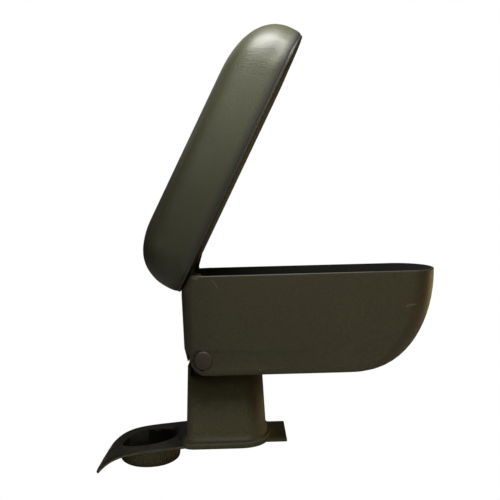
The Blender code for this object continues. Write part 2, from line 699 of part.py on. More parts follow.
def add_lug(tray, side):
    """A hinge lug with a gusset that runs forward along the tray, bored for its bush."""
    top = LID_PLANE + TRAY_THICKNESS / 2
    profile = [(-LUG_RADIUS, top)]
    for i in range(13):
        angle = pi + pi * i / 12
        profile.append((LUG_RADIUS * cos(angle), LUG_RADIUS * sin(angle)))
    profile += [(LUG_RADIUS + 0.0035, 0.0022), (GUSSET_LENGTH, LID_PLANE - 0.001), (GUSSET_LENGTH, top)]
    world = [(HINGE_X + x, HINGE_Z + z) for x, z in profile]
    y_low = side * LUG_MIDDLE_Y - LUG_WIDTH / 2
    combine(tray, new_piece("lug", extrude_along_y(world, y_low, y_low + LUG_WIDTH)), "UNION")
    bore_radius = PIN_RADIUS + FIT + HINGE_BUSH_WALL + FIT
    bore = hinge_rod(bore_radius, y_low - 0.001, y_low + LUG_WIDTH + 0.001)
    return combine(tray, new_piece("bore", bore))


def sink_screw(tray, x, y):
    head = SCREW_HEAD_RADIUS + GAP
    hole = SCREW_SHANK_RADIUS + FIT
    seat = FIELD_Z + SCREW_HEAD_HEIGHT
    profile = [(0.0, FIELD_Z - 0.001), (head, FIELD_Z - 0.001), (head, seat), (hole, seat),
               (hole, LID_UNDER_Z + TRAY_THICKNESS + 0.001), (0.0, LID_UNDER_Z + TRAY_THICKNESS + 0.001)]
    return combine(tray, new_piece("counterbore", turned_along_z(profile, x, y, 20)))


def build_lid_screws():
    pieces = []
    seat = FIELD_Z + SCREW_HEAD_HEIGHT - GAP
    for number, (x, y) in enumerate(screw_places(), start=1):
        low = seat - SCREW_HEAD_HEIGHT + 0.0002
        head, shank = SCREW_HEAD_RADIUS, SCREW_SHANK_RADIUS
        profile = [(0.0, low + 0.0004), (head * 0.35, low + 0.0004), (head * 0.42, low), (head * 0.85, low),
                   (head, low + 0.0004), (head, seat), (shank, seat), (shank, seat + SCREW_LENGTH * 0.85),
                   (0.0, seat + SCREW_LENGTH)]
        screw = turned_along_z(profile, x, y, 14)
        pieces.append(smooth(new_piece(f"lid_screw_{number}", screw, ((0.25, 0.25, 0.25), 0.4, 1.0))))
    return pieces


def build_buffers():
    pieces = []
    height = LID_GAP - GAP
    for number, (x, y) in enumerate(buffer_places(), start=1):
        low, under, top = RIM_Z + GAP, LID_UNDER_Z - GAP, LID_UNDER_Z + BUFFER_SOCKET_DEPTH - GAP
        profile = [(0.0, low), (BUFFER_RADIUS * 0.8, low), (BUFFER_RADIUS, under - height * 0.3),
                   (BUFFER_RADIUS, under), (BUFFER_STEM_RADIUS, under), (BUFFER_STEM_RADIUS, top),
                   (0.0, top)]
        pad = turned_along_z(profile, x, y, 16)
        pieces.append(smooth(new_piece(f"lid_buffer_{number}", pad, ((0.02, 0.02, 0.02), 0.8))))
    return pieces


# Pedestal

def plate_top_z(x):
    """The plate lies on the console in front, slopes gently under the cup and curls down at the tail."""
    behind = max(-POST_HALF_LENGTH - x, 0.0)
    share = behind / (TAIL_REACH + TAIL_BOW - POST_HALF_LENGTH)
    return PLATE_THICKNESS - TAIL_SLOPE * behind - TAIL_CURL * share ** 6


def plate_slope(x):
    step = 0.0005
    return (plate_top_z(x + step) - plate_top_z(x - step)) / (2 * step)


def build_plate():
    """The rear plate as a sheet of even thickness, its edge rounded above and its end bowed."""
    x_front = -POST_HALF_LENGTH + 0.006
    stations = [x_front - (x_front + TAIL_REACH) * (i / 22) ** 0.85 for i in range(23)]
    across = [-1.0, -0.985, -0.66, -0.33, 0.0, 0.33, 0.66, 0.985, 1.0]
    bm = bmesh.new()
    rows = []
    for index, station in enumerate(stations):
        bow = TAIL_BOW * (index / 22) ** 6
        tops, bottoms = [], []
        for share in across:
            x = station - bow * (1 - share * share)
            z = plate_top_z(x)
            slope = plate_slope(x)
            normal = Vector((-slope, 0.0, 1.0)).normalized()
            sunk = PLATE_EDGE_ROUND if abs(share) == 1.0 else 0.0
            top = Vector((x, share * PLATE_HALF_WIDTH, z)) - sunk * normal
            bottom = Vector((x, share * PLATE_HALF_WIDTH, z)) - PLATE_THICKNESS * normal
            tops.append(bm.verts.new(top))
            bottoms.append(bm.verts.new(bottom))
        rows.append((tops, bottoms))
    last = len(across) - 1
    for (tops_a, bottoms_a), (tops_b, bottoms_b) in zip(rows, rows[1:]):
        for j in range(last):
            bm.faces.new((tops_a[j], tops_a[j + 1], tops_b[j + 1], tops_b[j]))
            bm.faces.new((bottoms_a[j], bottoms_b[j], bottoms_b[j + 1], bottoms_a[j + 1]))
        bm.faces.new((tops_a[0], tops_b[0], bottoms_b[0], bottoms_a[0]))
        bm.faces.new((tops_a[last], bottoms_a[last], bottoms_b[last], tops_b[last]))
    for tops, bottoms in (rows[0], rows[-1]):
        for j in range(last):
            bm.faces.new((tops[j], tops[j + 1], bottoms[j + 1], bottoms[j]))
    return new_piece("pedestal", bm, ((0.027, 0.025, 0.019), 0.55))


def build_tongue():
    """The short flat tongue in front of the post."""
    half = TONGUE_HALF_WIDTH
    edge = PLATE_EDGE_ROUND
    x_low, x_high = POST_HALF_LENGTH - 0.015, TONGUE_REACH
    rings = []
    for z, inset in ((0.0, 0.0), (TONGUE_THICKNESS - edge, 0.0), (TONGUE_THICKNESS, edge)):
        tip, side = x_high - inset, half - inset
        rings.append([(x_low, -side, z), (tip, -side, z), (tip, side, z), (x_low, side, z)])
    return new_piece("tongue", loft(rings))


def post_outline(offset, z, steps=14):
    """The post's plan at height z, grown by an offset."""
    taper = POST_DRAFT * min(max(z, 0.0) / BOX_BOTTOM_Z, 1.1)
    half_length = POST_HALF_LENGTH - taper + (0.5 * offset if offset > 0 else offset)
    half_width = POST_HALF_WIDTH - taper + offset
    corner = max(POST_REAR_CORNER + offset * 0.5, 0.003)
    nose_length = POST_NOSE_LENGTH + offset
    return plan_outline(-half_length, half_length, half_width, corner, nose_length, z, 2.5, steps, 5)


def build_post():
    """Skirt, foot fillet and tapered post in one loft."""
    top = BOX_BOTTOM_Z + BARREL_RADIUS
    levels = [(0.0, SKIRT_OFFSET), (SKIRT_HEIGHT - 0.0012, SKIRT_OFFSET),
              (SKIRT_HEIGHT - 0.0003, SKIRT_OFFSET - 0.0006), (SKIRT_HEIGHT, SKIRT_OFFSET - 0.0016),
              (SKIRT_HEIGHT + 0.0004, SKIRT_OFFSET * 0.55), (SKIRT_HEIGHT + 0.0017, SKIRT_OFFSET * 0.27),
              (SKIRT_HEIGHT + 0.0045, SKIRT_OFFSET * 0.10), (SKIRT_HEIGHT + 0.0085, 0.0), (top, 0.0)]
    return new_piece("post", loft([post_outline(offset, z) for z, offset in levels]))


def build_post_hollow():
    """Four cells between cross ribs, open at the foot."""
    roof = BOX_BOTTOM_Z - CRADLE_DEPTH - POST_WALL
    levels = ((-POST_WALL, -0.002), (-POST_WALL, roof - 0.004), (-POST_WALL - 0.003, roof))
    hollow = new_piece("hollow", loft([post_outline(offset, z) for offset, z in levels]))
    half = POST_WALL / 2
    reach = POST_HALF_LENGTH + POST_HALF_WIDTH
    combine(hollow, new_piece("web", box_solid((-reach, -half, -0.01), (reach, half, BOX_BOTTOM_Z))))
    combine(hollow, new_piece("web", box_solid((-half, -reach, -0.01), (half, reach, BOX_BOTTOM_Z))))
    return hollow


def cradle_profile():
    """What is cut from the post's top: the stop slope, the cradle round the barrel and the flat seat."""
    seat = BOX_BOTTOM_Z - GAP
    dip = BOX_BOTTOM_Z - CRADLE_DEPTH
    rear_face = -POST_HALF_LENGTH + POST_DRAFT
    inner_x = rear_face + UPSTAND_THICKNESS
    # The stop slope lies along the box's chamfer when the box is fully raised
    normal_deg = chamfer_normal_deg() + TILT_MAX_DEG
    nx, nz = cos(radians(normal_deg)), sin(radians(normal_deg))
    reach = BARREL_RADIUS + GAP

    def stop_z(x):
        return TILT_Z + (reach - (x - TILT_X) * nx) / nz

    return [(rear_face - 0.02, stop_z(rear_face - 0.02)), (inner_x, stop_z(inner_x)), (inner_x, dip + 0.003),
            (inner_x + 0.004, dip + 0.0006), (inner_x + 0.010, dip), (TILT_X + 0.004, dip + 0.0012),
            (TILT_X + 0.012, dip + 0.0036), (TILT_X + 0.020, seat), (0.1, seat), (0.1, TILT_Z + 0.05),
            (rear_face - 0.02, TILT_Z + 0.05)]


def chamfer_normal_deg():
    """Direction from the tilt pivot square to the box's chamfer, at rest."""
    high_z = BOX_BOTTOM_Z + CHAMFER_HEIGHT - 0.0005
    low_z = high_z - 0.004
    run = box_rear_x(low_z) - box_rear_x(high_z)
    return 180.0 + degrees(asin(run / sqrt(run * run + 0.004 ** 2)))


def build_ear(side):
    foot_z = BOX_BOTTOM_Z - CRADLE_DEPTH - POST_WALL / 2
    profile = [(TILT_X - EAR_RADIUS - EAR_FLARE, foot_z), (TILT_X + EAR_RADIUS + EAR_FLARE, foot_z)]
    for i in range(17):
        angle = pi * i / 16
        profile.append((TILT_X + EAR_RADIUS * cos(angle), TILT_Z + EAR_RADIUS * sin(angle)))
    return extrude_along_y(profile, side * EAR_INNER_Y, side * EAR_OUTER_Y)


def cup_ring(radius, z_of_x, ribbed=False):
    """A ring of the cup's wall, with moulded ribs when it is on the outside."""
    points = []
    steps = CUP_RIBS * 2
    for i in range(steps):
        angle = 2 * pi * i / steps
        reach = radius + (CUP_RIB_HEIGHT if ribbed and i % 2 else 0.0)
        x = CUP_X + reach * cos(angle)
        points.append((x, reach * sin(angle), z_of_x(x)))
    return points


def add_cup(pedestal):
    """The ribbed cup that hangs under the plate, and its recess."""
    outer = CUP_RADIUS + CUP_WALL
    round_steps = 5
    rings = [cup_ring(outer - 0.0005, lambda x: plate_top_z(x) - PLATE_THICKNESS / 2)]
    rings.append(cup_ring(outer, lambda x: min(plate_top_z(x) - PLATE_THICKNESS - 0.0008, -0.004), True))
    for i in range(round_steps + 1):
        angle = pi / 2 * i / round_steps
        radius = outer - CUP_BOTTOM_ROUND * (1 - cos(angle))
        z = -CUP_DEPTH + CUP_BOTTOM_ROUND * (1 - sin(angle))
        rings.append(cup_ring(radius, lambda x, z=z: z, i < 3))
    combine(pedestal, new_piece("cup", loft(rings)), "UNION")
    inner_round = CUP_BOTTOM_ROUND - CUP_WALL
    floor = -CUP_DEPTH + CUP_WALL
    profile = [(0.0, 0.01), (CUP_RADIUS, 0.01)]
    for i in range(round_steps + 1):
        angle = pi / 2 * i / round_steps
        profile.append((CUP_RADIUS - inner_round * (1 - cos(angle)), floor + inner_round * (1 - sin(angle))))
    profile.append((0.0, floor))
    return combine(pedestal, new_piece("recess", turned_along_z(profile, CUP_X, 0.0, 56)))


def build_pedestal():
    pedestal = build_plate()
    combine(pedestal, build_tongue(), "UNION")
    post = build_post()
    combine(post, new_piece("cradle", extrude_along_y(cradle_profile(), -PAST_SIDES, PAST_SIDES)))
    for side in (-1, 1):
        combine(post, new_piece("ear", build_ear(side)), "UNION")
        bore = pivot_rod(EAR_BORE + FIT, side * (EAR_INNER_Y - 0.001), side * (EAR_OUTER_Y + 0.001), 28)
        combine(post, new_piece("bore", bore))
    combine(pedestal, post, "UNION")
    combine(pedestal, build_post_hollow())
    return [smooth(add_cup(pedestal))]


def build_tilt_bushes():
    """Flanged bushes in the ears, and the steel sleeve that spans them."""
    pieces = []
    inner = SLEEVE_RADIUS + FIT
    flange_y = EAR_OUTER_Y + GAP
    for side_name, side in NEAR_AND_FAR:
        profile = [(inner, EAR_INNER_Y), (EAR_BORE, EAR_INNER_Y), (EAR_BORE, flange_y),
                   (BUSH_FLANGE_RADIUS, flange_y), (BUSH_FLANGE_RADIUS, flange_y + BUSH_FLANGE),
                   (inner, flange_y + BUSH_FLANGE)]
        bush = turned_along_y(profile, TILT_X, TILT_Z, 28, side)
        pieces.append(new_piece(f"ear_bush_{side_name}", bush, ((0.75, 0.73, 0.66), 0.5)))
    half = flange_y + BUSH_FLANGE
    ring = [(BOLT_HOLE_RADIUS, -half), (SLEEVE_RADIUS, -half), (SLEEVE_RADIUS, half),
            (BOLT_HOLE_RADIUS, half)]
    sleeve = turned_along_y(ring, TILT_X, TILT_Z, 28)
    pieces.append(new_piece("pivot_sleeve", sleeve, ((0.45, 0.45, 0.44), 0.35, 1.0)))
    return [smooth(piece) for piece in pieces]


# Assembly on the joint axes

def joint_axis(name, place, turn_deg, parent=None):
    empty = bpy.data.objects.new(name, None)
    bpy.context.scene.collection.objects.link(empty)
    empty.rotation_euler = (0.0, radians(turn_deg), 0.0)
    if parent:
        empty.parent = parent
        empty.location = Vector(place) - parent.location
    else:
        empty.location = place
    return empty


def hang(pieces, axis, drawn_at):
    """Parents pieces to a joint's empty, keeping the place where they were drawn before it turned."""
    for piece in pieces:
        piece.parent = axis
        piece.location = -Vector(drawn_at)


def main():
    clear_scene()
    build_pedestal()
    build_tilt_bushes()
    tilt_place = (TILT_X, 0.0, TILT_Z)
    hinge_place = (HINGE_X, 0.0, HINGE_Z)
    tilt_axis = joint_axis("tilt_axis", tilt_place, 0.0)
    hinge_axis = joint_axis("hinge_axis", hinge_place, -LID_OPEN_DEG, tilt_axis)
    hang(build_storage_box() + build_pivot_hardware() + build_hinge_pins(), tilt_axis, tilt_place)
    lid = [build_cover(), build_foam(), build_board(), build_tray()]
    lid += build_hinge_bushes() + build_lid_screws() + build_buffers()
    hang(lid, hinge_axis, hinge_place)
    bpy.context.view_layer.update()


main()
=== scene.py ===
"""The looks of a console armrest: grained skin over foam, and fine-textured plastic box, post and plate."""
import json
from math import cos, radians, sin

import bpy
from mathutils import Matrix, Vector


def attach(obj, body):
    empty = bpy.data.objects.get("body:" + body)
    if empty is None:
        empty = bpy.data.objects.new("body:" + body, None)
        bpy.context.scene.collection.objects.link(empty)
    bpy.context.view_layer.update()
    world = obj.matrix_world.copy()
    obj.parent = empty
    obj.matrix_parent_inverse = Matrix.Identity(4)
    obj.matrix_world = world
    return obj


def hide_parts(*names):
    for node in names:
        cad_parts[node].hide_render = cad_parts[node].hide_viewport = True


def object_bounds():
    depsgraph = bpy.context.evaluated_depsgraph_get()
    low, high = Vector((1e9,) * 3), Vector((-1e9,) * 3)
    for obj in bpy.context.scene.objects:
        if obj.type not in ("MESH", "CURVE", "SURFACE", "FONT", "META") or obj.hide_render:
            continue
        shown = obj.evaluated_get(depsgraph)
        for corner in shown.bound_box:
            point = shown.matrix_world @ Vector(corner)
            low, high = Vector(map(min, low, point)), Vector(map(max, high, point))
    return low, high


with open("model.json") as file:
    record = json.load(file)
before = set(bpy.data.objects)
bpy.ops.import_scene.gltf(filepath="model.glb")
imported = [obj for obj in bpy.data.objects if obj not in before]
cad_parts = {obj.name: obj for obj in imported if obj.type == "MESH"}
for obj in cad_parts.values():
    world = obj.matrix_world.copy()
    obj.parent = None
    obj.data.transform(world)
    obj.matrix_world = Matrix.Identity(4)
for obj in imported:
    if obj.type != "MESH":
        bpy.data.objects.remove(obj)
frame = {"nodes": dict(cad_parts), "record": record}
cad_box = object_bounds()

# The lid turns about the hinge pins. Its pad is modelled closed, where its underside is level, and then put
# back open
HINGE = Vector((-0.0318, 0.0, 0.1787))
LID_OPEN = radians(63.0)
CLOSE_LID = Matrix.Translation(HINGE) @ Matrix.Rotation(LID_OPEN, 4, "Y") @ Matrix.Translation(-HINGE)
OPEN_LID = CLOSE_LID.inverted()
TRAY_UNDER_Z = 0.1847
TRAY_TOP_Z = 0.1877

# Skin of the pad. It wraps the tray's edge by a lip and stops a little short of the tray's underside. The
# strip round its foot is held while it swells. Faces whose normal is this near to straight down are its base
SKIN_LIP = Vector((0.0012, 0.0012, 0.0))
SKIN_SHORT = Vector((0.0, 0.0, 0.0008))
SKIN_VOXEL = 0.0035
SKIN_TUCK = 0.0010
SKIN_SWELL = 0.0009
SKIN_PRESSURE = 4.0
SWELL_FRAMES = 20
HELD_HEIGHT = 0.006
FLAT_NORMAL = 0.98

# Towards the hinge the pad is painted darker, a painted shade for the light that falls off down the lid. Both
# lengths run along the open lid
LID_DARK_END = 0.300
LID_DARK_RUN = 0.250

# The rolled edge round the foot of the pad carries painted shade and is duller up to this height
HEM_HEIGHT = 0.0080

# A fine grain in all mouldings and in the skin, and the level above which it turns to dark flecks
GRAIN_SCALE = 430.0
FLECK_LEVEL = 0.38
FLECK_CONTRAST = 3.6

# Fine creases in the skin below the nose
CREASED = Vector((0.028, -0.055, 0.408))
CREASE_REACH = 0.030
CREASE_TURN = radians(-14.0)
CREASE_SCALE = (110.0, 110.0, 640.0)

# The cup. Its inside lies within the first distance of its middle. The fine ribs round its outside lie within
# the second, below the plate
CUP_MIDDLE = Vector((-0.0875, 0.0, -0.012))
CUP_REACH = 0.046
CUP_OUTSIDE = 0.041
CUP_RIBS = 88.0
CUP_RIB_TOP = -0.0085

# A point in the bin, just under its rim. Surfaces facing it are painted nearly black as painted shade
BIN_MIDDLE = Vector((0.090, 0.0, 0.172))

# Camera
CAMERA_PLACE = Vector((0.0260, -0.870, 0.2456))
CAMERA_PITCH = radians(-2.57)
CAMERA_YAW = radians(-0.29)
CAMERA_ROLL = radians(-1.49)
FOCAL_PIXELS = 780.0
FRAME_PIXELS = 500.0

# The floor, just under the tip of the tail and the cup's foot
FLOOR_Z = cad_box[0][2] - 0.0005
WHITE = (1.0, 1.0, 1.0, 1.0)

# Lamps: name, place, target, size, watts, tint and spread in degrees
NOSE = (0.05, 0.0, 0.44)
LAMPS = (
    ("nose_lamp", (0.095, -0.27, 0.70), NOSE, (0.22, 0.22), 2.9, (1.0, 1.0, 0.94), 180.0),
    ("crown_lamp", (0.045, -0.14, 0.72), NOSE, (0.26, 0.26), 2.5, (0.97, 0.96, 0.98), 180.0),
    ("upper_front", (0.10, -0.80, 0.70), (0.05, 0.0, 0.35), (0.30, 0.30), 0.75, (0.92, 1.0, 0.60), 180.0),
    ("low_front", (0.36, -0.60, 0.06), (0.14, 0.0, 0.10), (0.16, 0.16), 0.27, (1.0, 0.88, 0.50), 180.0),
    ("cup_lamp", (-0.20, -0.60, 0.0), (-0.09, 0.0, -0.02), (0.05, 0.05), 0.015, (1.0, 0.95, 0.75), 30.0),
    ("warm_side", (0.58, -0.13, 0.0), (0.20, 0.0, 0.10), (0.30, 0.05), 0.16, (1.0, 0.58, 0.18), 180.0),
    ("warm_back", (0.95, 0.75, 0.02), (0.10, 0.0, 0.12), (0.50, 0.08), 1.5, (1.0, 0.72, 0.30), 180.0),
    ("back_lamp", (-0.30, 1.00, 0.80), (0.0, 0.0, 0.20), (0.50, 0.50), 0.7, (1.0, 0.98, 0.92), 180.0),
)

# Points of a mesh nearer than this are one point, and heights that differ by less than the slack are level
MERGE_DISTANCE = 0.000002
LEVEL_SLACK = 0.0001

# Numbers of the sockets of the Mix node when it mixes colours
MIX_FACTOR, MIX_FIRST, MIX_SECOND = 0, 6, 7
MIX_COLOUR = 2


# Shader maths

class Value:
    """A number that varies over a surface. Arithmetic on it adds Math nodes to its look."""

    def __init__(self, look, socket):
        self.look = look
        self.socket = socket

    def __add__(self, other):
        return self.look.maths("ADD", self, other)

    def __radd__(self, other):
        return self.look.maths("ADD", other, self)

    def __sub__(self, other):
        return self.look.maths("SUBTRACT", self, other)

    def __rsub__(self, other):
        return self.look.maths("SUBTRACT", other, self)

    def __mul__(self, other):
        return self.look.maths("MULTIPLY", self, other)

    def __rmul__(self, other):
        return self.look.maths("MULTIPLY", other, self)

    def __truediv__(self, other):
        return self.look.maths("DIVIDE", self, other)

    def __abs__(self):
        return self.look.maths("ABSOLUTE", self)

    def clamp(self):
        return self.look.maths("ADD", self, 0.0, use_clamp=True)

    def below(self, limit, softness):
        """1 well under the limit and 0 well over it, with a soft edge."""
        return ((limit - self) / softness + 0.5).clamp()


class Look:
    """A material in the making."""

    def __init__(self, name):
        self.material = bpy.data.materials.new(name)
        self.material.use_nodes = True
        self.tree = self.material.node_tree
        self.shader = self.tree.nodes["Principled BSDF"]
        coordinates = self.node("ShaderNodeTexCoord")
        self.place = coordinates.outputs["Object"]
        self.normal = coordinates.outputs["Normal"]

    def node(self, kind, settings=None, inputs=None):
        made = self.tree.nodes.new(kind)
        for key, setting in (settings or {}).items():
            setattr(made, key, setting)
        for key, source in (inputs or {}).items():
            self.feed(made.inputs[key], source)
        return made

    def feed(self, socket, source):
        if isinstance(source, Value):
            self.tree.links.new(source.socket, socket)
        elif isinstance(source, bpy.types.NodeSocket):
            self.tree.links.new(source, socket)
        else:
            socket.default_value = source

    def maths(self, operation, *values, use_clamp=False):
        inputs = dict(enumerate(values))
        made = self.node("ShaderNodeMath", {"operation": operation, "use_clamp": use_clamp}, inputs)
        return Value(self, made.outputs[0])

    def axes(self, vector):
        split = self.node("ShaderNodeSeparateXYZ", None, {0: vector})
        return [Value(self, split.outputs[axis]) for axis in "XYZ"]

    def noise(self, scale, detail=2.0, roughness=0.5, place=None):
        inputs = {"Vector": place or self.place, "Scale": scale, "Detail": detail, "Roughness": roughness}
        return Value(self, self.node("ShaderNodeTexNoise", None, inputs).outputs["Fac"])

    def grain(self):
        return self.noise(GRAIN_SCALE, 3.0, 0.7)

    def cells(self, scale, smoothness=0.6):
        settings = {"feature": "SMOOTH_F1"}
        inputs = {"Vector": self.place, "Scale": scale, "Smoothness": smoothness}
        return Value(self, self.node("ShaderNodeTexVoronoi", settings, inputs).outputs["Distance"])

    def blend(self, factor, first, second):
        """A colour between two others."""
        inputs = {MIX_FACTOR: factor, MIX_FIRST: first, MIX_SECOND: second}
        return self.node("ShaderNodeMix", {"data_type": "RGBA"}, inputs).outputs[MIX_COLOUR]

    def relief(self, height, depth):
        bump = self.node("ShaderNodeBump", None, {"Height": height, "Distance": depth, "Strength": 1.0})
        self.feed(self.shader.inputs["Normal"], bump.outputs["Normal"])

    def scratch(self, start, end, bow, width):
        """A fine bowed line on the near side, between two (x, z) points, as a mask."""
        x, y, z = self.axes(self.place)
        run = Vector(end) - Vector(start)
        length = run.length
        along, across = run / length, Vector((-run.y, run.x)) / length
        dx, dz = x - start[0], z - start[1]
        share = (dx * along.x + dz * along.y) / length
        off = dx * across.x + dz * across.y - share * (1.0 - share) * (4.0 * bow)
        inside = abs(share - 0.5).below(0.47, 0.08)
        return abs(off).below(width, width) * inside * y.below(0.0, 0.01)

    def away_from(self, centre):
        away = self.node("ShaderNodeVectorMath", {"operation": "DISTANCE"}, {0: self.place, 1: centre})
        return Value(self, away.outputs["Value"])

    def spot(self, centre, radius):
        """A small round mark on the surface, as a mask."""
        return self.away_from(centre).below(radius, radius)

    def turned(self, angle, scale):
        """The place on the piece, turned about the Y axis and scaled along each axis."""
        inputs = {"Vector": self.place, "Rotation": (0.0, angle, 0.0), "Scale": scale}
        return self.node("ShaderNodeMapping", None, inputs).outputs["Vector"]

    def facing(self, centre):
        """1 on surfaces that face a point, such as the inside of a hollow round it, and 0 on the others."""
        away = self.node("ShaderNodeVectorMath", {"operation": "SUBTRACT"}, {0: self.place, 1: centre})
        inputs = {0: away.outputs["Vector"], 1: self.normal}
        side = self.node("ShaderNodeVectorMath", {"operation": "DOT_PRODUCT"}, inputs)
        return Value(self, side.outputs["Value"]).below(0.0, 0.004)


def colour(red, green, blue):
    """An sRGB colour of 0 to 255 as linear values."""
    shares = [part / 255 for part in (red, green, blue)]
    linear = [((share + 0.055) / 1.055) ** 2.4 if share > 0.04045 else share / 12.92 for share in shares]
    return (*linear, 1.0)


def darker(shade, share):
    """A colour cut down to a share of its brightness."""
    return (*(share * part for part in shade[:3]), 1.0)


def flecks(grain):
    """Dark flecks, as a mask, where the grain is high."""
    return ((grain - FLECK_LEVEL) * FLECK_CONTRAST).clamp()


# Looks

def skin_look():
    """Satin imitation leather with a pebble grain. Painted shade darkens it towards the hinge and along its
    rolled edge.
    """
    look = Look("grained_skin")
    pebbles = look.cells(1150.0)
    pores = look.noise(2600.0, 3.0, 0.6)
    tone = look.noise(9.0, 2.0)
    wear = look.noise(38.0, 4.0, 0.62)
    base = look.blend(tone, colour(56, 58, 40), colour(64, 66, 47))
    base = look.blend(pebbles * 0.5, base, colour(43, 44, 29))
    base = look.blend(flecks(look.grain()) * 0.5, base, colour(42, 43, 29))
    x, _, z = look.axes(look.place)
    along = x * cos(LID_OPEN) + z * sin(LID_OPEN)
    # Painted shade: the pad darkens towards the hinge end
    painted_hinge_shade = ((LID_DARK_END - along) / LID_DARK_RUN).clamp()
    base = look.blend(painted_hinge_shade, base, colour(26, 22, 14))
    above_hinge = (z - HINGE.z) * cos(LID_OPEN) - (x - HINGE.x) * sin(LID_OPEN)
    # Painted shade along the rolled edge, which turns away from the light; the same band is also rougher
    shaded_dull_hem = (above_hinge - (TRAY_UNDER_Z - HINGE.z)).below(HEM_HEIGHT, HEM_HEIGHT)
    look.feed(look.shader.inputs["Base Color"], look.blend(shaded_dull_hem * 0.95, base, colour(17, 16, 11)))
    look.feed(look.shader.inputs["Roughness"], 0.41 + wear * 0.12 + pores * 0.06 + shaded_dull_hem * 0.20)
    look.shader.inputs["Specular IOR Level"].default_value = 0.7
    creases = look.noise(1.0, 2.0, 0.5, look.turned(CREASE_TURN, CREASE_SCALE))
    creased = look.away_from(CREASED).below(CREASE_REACH, CREASE_REACH)
    look.relief(pebbles * 0.7 + pores * 0.3 + creases * creased * 2.2, 0.00012)
    return look.material


def plastic_look(name, dark, light, marks=None, hollow=None, ribs=None, shine=0.5):
    """Moulded plastic with a fine texture. Marks are scratches, scuffs and specks, with painted highlight and
    painted shade among them, and the inside of a hollow is painted nearly black as painted shade.
    """
    look = Look(name)
    texture = look.noise(1500.0, 4.0, 0.65)
    grain = look.grain()
    tone = look.noise(14.0, 3.0)
    smear = look.noise(60.0, 5.0, 0.7)
    base = look.blend(tone, dark, light)
    base = look.blend(flecks(grain) * 0.7, base, darker(dark, 0.62))
    roughness = 0.50 + smear * 0.12 + texture * 0.06
    if marks:
        # Pale marks hold scratches, scuffs and a painted highlight; dark ones hold specks and painted shade
        pale, black = marks(look)
        if pale:
            base = look.blend(pale, base, colour(112, 106, 84))
        base = look.blend(black, base, colour(17, 15, 8))
    if hollow:
        # Painted shade: the inside of the hollow is painted nearly black and made rougher
        inside = look.facing(hollow)
        base = look.blend(inside, base, colour(10, 9, 7))
        roughness = roughness + inside * 0.35
    look.feed(look.shader.inputs["Base Color"], base)
    look.feed(look.shader.inputs["Roughness"], roughness)
    look.shader.inputs["Specular IOR Level"].default_value = shine
    height = texture * 0.6 + grain * 0.4
    if ribs:
        height = height + ribs(look)
    look.relief(height, 0.00022)
    return look.material


def box_marks(look):
    """The pale and the dark marks on the box: scratches, scuffs and specks, a painted highlight on the rim's
    rear corner and painted shade towards the rear end.
    """
    hair_scratch = look.scratch((-0.0112, 0.1795), (-0.0050, 0.1703), 0.0012, 0.0004) * 0.45
    # A painted highlight where the rim's rounded rear corner catches the light
    rim_painted_highlight = look.scratch((-0.0310, 0.1822), (-0.0235, 0.1818), -0.0010, 0.0007) * 0.35
    scuff = look.scratch((0.1905, 0.1467), (0.2020, 0.1483), 0.0006, 0.0008) * look.noise(900.0, 2.0) * 0.8
    low_speck = look.spot((0.0372, -0.0636, 0.0843), 0.0008) * 0.5
    rim_speck = look.spot((0.2155, 0.0400, 0.1785), 0.0011) * 0.7
    black_speck = look.spot((0.1787, -0.0650, 0.1782), 0.0011) * 0.8
    # Painted shade: the rear end of the box is darker
    rear_painted_shade = look.axes(look.place)[0].below(-0.022, 0.050) * 0.35
    pale = hair_scratch + rim_painted_highlight + scuff + low_speck + rim_speck
    return pale.clamp(), (black_speck + rear_painted_shade).clamp()


def in_cup(look):
    """1 on the inside of the cup, and 0 on the rest of the moulding."""
    return look.facing(CUP_MIDDLE) * look.away_from(CUP_MIDDLE).below(CUP_REACH, 0.004)


def plate_painted_shade(look):
    """Painted shade over the plate's upper face and the inside of the cup. There are no pale marks."""
    x, _, z = look.axes(look.place)
    up = look.axes(look.normal)[2]
    # Painted shade on the plate's upward faces and in the cup's recess
    upper_face_shade = (0.6 - up).below(0.0, 0.3) * z.below(0.008, 0.006) * x.below(0.030, 0.010) * 0.95
    return None, (upper_face_shade + in_cup(look) * 0.9).clamp()


def cup_ribs(look):
    """Fine upright ribs round the outside of the cup."""
    x, y, z = look.axes(look.place)
    turn = look.maths("ARCTAN2", y, x - CUP_MIDDLE.x)
    upright = abs(look.axes(look.normal)[2]).below(0.4, 0.2)
    near = look.away_from(CUP_MIDDLE).below(CUP_OUTSIDE, 0.002)
    outside = upright * near * z.below(CUP_RIB_TOP, 0.001) * (1.0 - in_cup(look))
    return look.maths("COSINE", turn * CUP_RIBS) * outside * 0.9


def plain_look(name, shade, roughness, metallic=0.0, texture_scale=900.0, depth=0.00003):
    """A small part's finish, with a little fine unevenness."""
    look = Look(name)
    fine = look.noise(texture_scale, 3.0, 0.6)
    look.feed(look.shader.inputs["Base Color"], look.blend(fine * 0.35, shade, darker(shade, 0.7)))
    look.feed(look.shader.inputs["Roughness"], roughness + fine * 0.12)
    look.shader.inputs["Metallic"].default_value = metallic
    look.relief(fine, depth)
    return look.material


# Pieces

def select_only(piece):
    bpy.ops.object.select_all(action="DESELECT")
    piece.select_set(True)
    bpy.context.view_layer.objects.active = piece


def in_edit_mode(piece, *steps):
    """Runs edit-mode steps on what is selected of a piece's mesh."""
    select_only(piece)
    bpy.ops.object.mode_set(mode="EDIT")
    for step in steps:
        step()
    bpy.ops.object.mode_set(mode="OBJECT")


def on_all(piece, *steps):
    """Runs edit-mode steps on all of a piece's mesh."""
    in_edit_mode(piece, lambda: bpy.ops.mesh.select_all(action="SELECT"), *steps)


